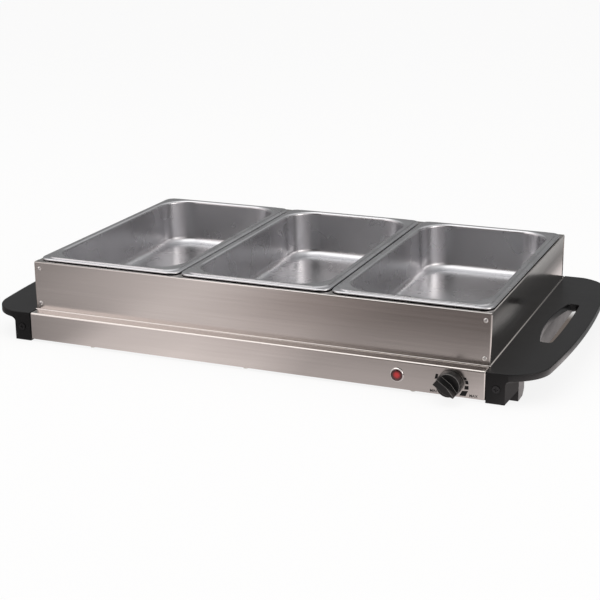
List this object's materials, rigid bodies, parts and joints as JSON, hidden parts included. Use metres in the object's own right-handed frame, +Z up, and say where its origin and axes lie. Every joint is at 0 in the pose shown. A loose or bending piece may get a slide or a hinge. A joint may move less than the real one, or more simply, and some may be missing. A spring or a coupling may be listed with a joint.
{
  "type": "electric food warmer tray",
  "caption": "Flat electrically heated stainless base with black D-shaped handles, a riveted frame standing on it, lift-out rectangular pans, and a knob and lamp in the front apron.",
  "frame": {"origin": "centre of the bounding box on the table, under the foot pads", "axes": "+X to the right along the tray, +Y to the rear, +Z up; the control knob faces -Y"},
  "size_m": [0.668, 0.408, 0.0946],
  "materials": {
    "stainless": "brushed along the length, satin",
    "pan_steel": "satin, bright rolled edge",
    "rivet_steel": "bright",
    "zinc_sheet": "zinc plated",
    "zinc_hardware": "zinc plated",
    "black_hardware": "black, semi-gloss",
    "aluminium_sheet": "mill finish",
    "element_tube": "dull, heat darkened",
    "black_plastic": "black moulded, semi-gloss",
    "knob_plastic": "black moulded, semi-gloss",
    "thermostat_case": "brown phenolic",
    "white_plastic": "white moulded",
    "red_lens": "deep red, glossy",
    "bezel_chrome": "polished",
    "brass": "plain",
    "rubber": "matt",
    "lead_brown": "silicone insulation",
    "lead_blue": "silicone insulation",
    "lead_green": "silicone insulation"
  },
  "bodies": {
    "warming_base": {"base_shell": "stainless", "bottom_cover": "zinc_sheet", "cover_screws": "zinc_hardware", "left_handle": "black_plastic", "right_handle": "black_plastic", "left_handle_bracket": "zinc_sheet", "right_handle_bracket": "zinc_sheet", "bracket_rivets": "zinc_hardware", "handle_screws": "black_hardware", "foot_pads": "rubber", "heat_spreader": "aluminium_sheet", "heating_element": "element_tube", "element_pins": "zinc_hardware", "clamp_bars": "zinc_sheet", "clamp_studs": "zinc_hardware", "stud_nuts": "zinc_hardware", "reflector_tray": "aluminium_sheet", "thermostat_body": "thermostat_case", "thermostat_nut": "zinc_hardware", "thermostat_terminals": "brass", "lamp_bezel": "bezel_chrome", "lamp_lens": "red_lens", "lamp_housing": "white_plastic", "lamp_retainer": "zinc_hardware", "lamp_terminals": "brass", "terminal_block": "white_plastic", "terminal_screws": "brass", "block_screw": "zinc_hardware", "cord_gland": "black_plastic", "gland_nut": "black_plastic", "thermal_fuse": "aluminium_sheet", "fuse_clip": "zinc_sheet", "small_studs": "zinc_hardware", "small_nuts": "zinc_hardware", "earth_lug": "brass", "live_lead": "lead_brown", "fuse_lead": "lead_brown", "element_lead": "lead_brown", "neutral_lead": "lead_blue", "earth_lead": "lead_green"},
    "control_knob": {"control_knob": "knob_plastic", "thermostat_spindle": "zinc_hardware"},
    "pan_frame": {"frame_front_panel": "stainless", "frame_rear_panel": "stainless", "frame_right_panel": "stainless", "frame_left_panel": "stainless", "frame_rivets": "rivet_steel", "divider_bars": "stainless"},
    "pan_left": {"pan_left": "pan_steel"},
    "pan_middle": {"pan_middle": "pan_steel"},
    "pan_right": {"pan_right": "pan_steel"}
  },
  "joints": [
    {"name": "knob_turn", "type": "hinge", "parent": "warming_base", "child": "control_knob", "pos_m": [0.2314, -0.192, 0.0176], "axis": [0, -1, 0], "range_deg": [0, 250]},
    {"name": "frame_lift", "type": "slide", "parent": "warming_base", "child": "pan_frame", "axis": [0, 0, 1], "range_m": [0, 0.12]},
    {"name": "pan_left_lift", "type": "slide", "parent": "pan_frame", "child": "pan_left", "axis": [0, 0, 1], "range_m": [0, 0.12]},
    {"name": "pan_middle_lift", "type": "slide", "parent": "pan_frame", "child": "pan_middle", "axis": [0, 0, 1], "range_m": [0, 0.12]},
    {"name": "pan_right_lift", "type": "slide", "parent": "pan_frame", "child": "pan_right", "axis": [0, 0, 1], "range_m": [0, 0.12]}
  ]
}
